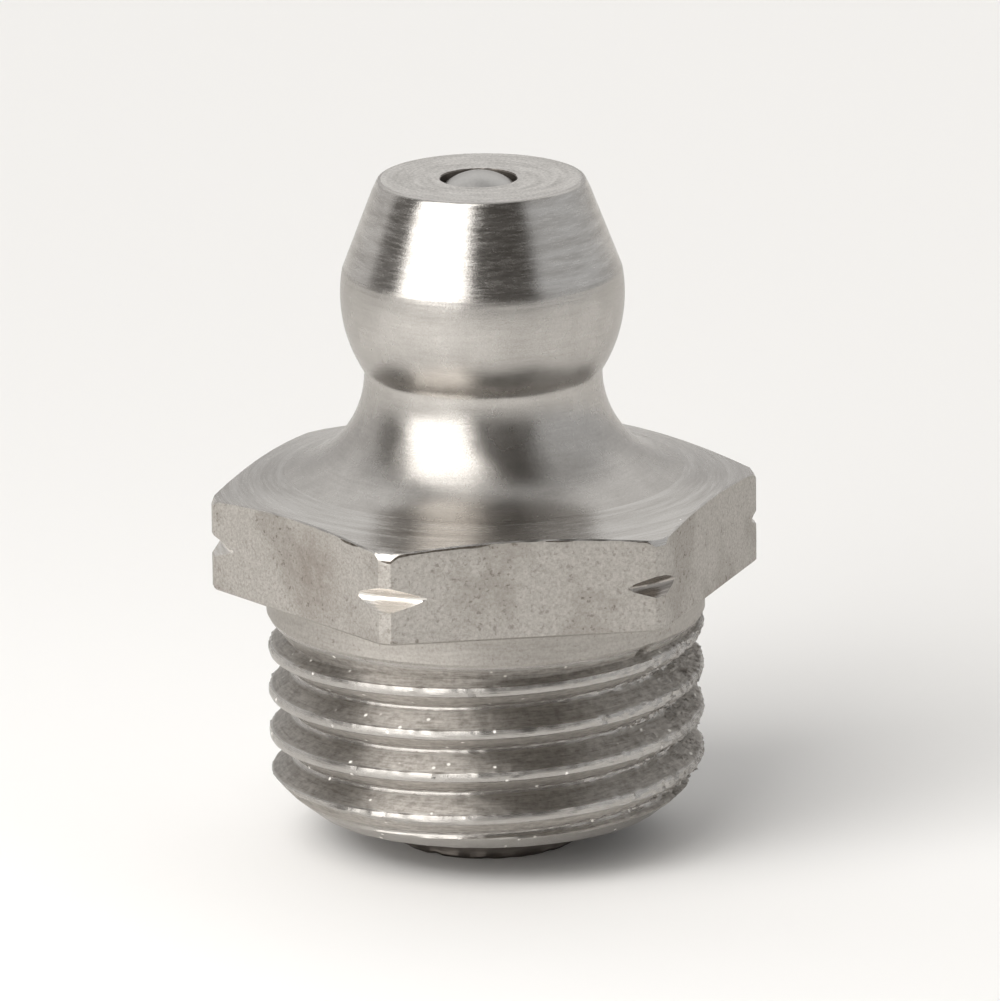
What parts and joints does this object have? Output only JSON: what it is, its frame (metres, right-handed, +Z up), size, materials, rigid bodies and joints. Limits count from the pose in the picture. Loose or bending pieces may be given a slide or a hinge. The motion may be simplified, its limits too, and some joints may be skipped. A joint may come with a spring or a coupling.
{
  "type": "grease nipple",
  "caption": "Straight screw-in hydraulic grease nipple with a hexagon, a rounded coupling head, a fine thread and a spring-loaded ball check valve.",
  "frame": {"origin": "on the axis, in the plane of the lower rim of the rolled-in spigot, where the part stands when it is put down upright", "axes": "+Z up the axis to the coupling head; two opposite spanner flats face -Y and +Y, so two corners of the hexagon lie on X"},
  "size_m": [0.0126, 0.011, 0.0157],
  "materials": {
    "body_steel": "turned stainless steel: fine turning lines on the head, neck and cone, drawn matt flats, bright thread",
    "ball_steel": "ground and lapped ball, smooth satin",
    "spring_steel": "drawn spring wire, satin"
  },
  "bodies": {
    "nipple": {"nipple_body": "body_steel", "check_spring": "spring_steel"},
    "ball": {"check_ball": "ball_steel"}
  },
  "joints": [
    {"name": "ball_slide", "type": "slide", "parent": "nipple", "child": "ball", "axis": [0, 0, -1], "range_m": [0, 0.0008], "stiffness_N_per_m": 700, "deforming": ["check_spring"]}
  ]
}
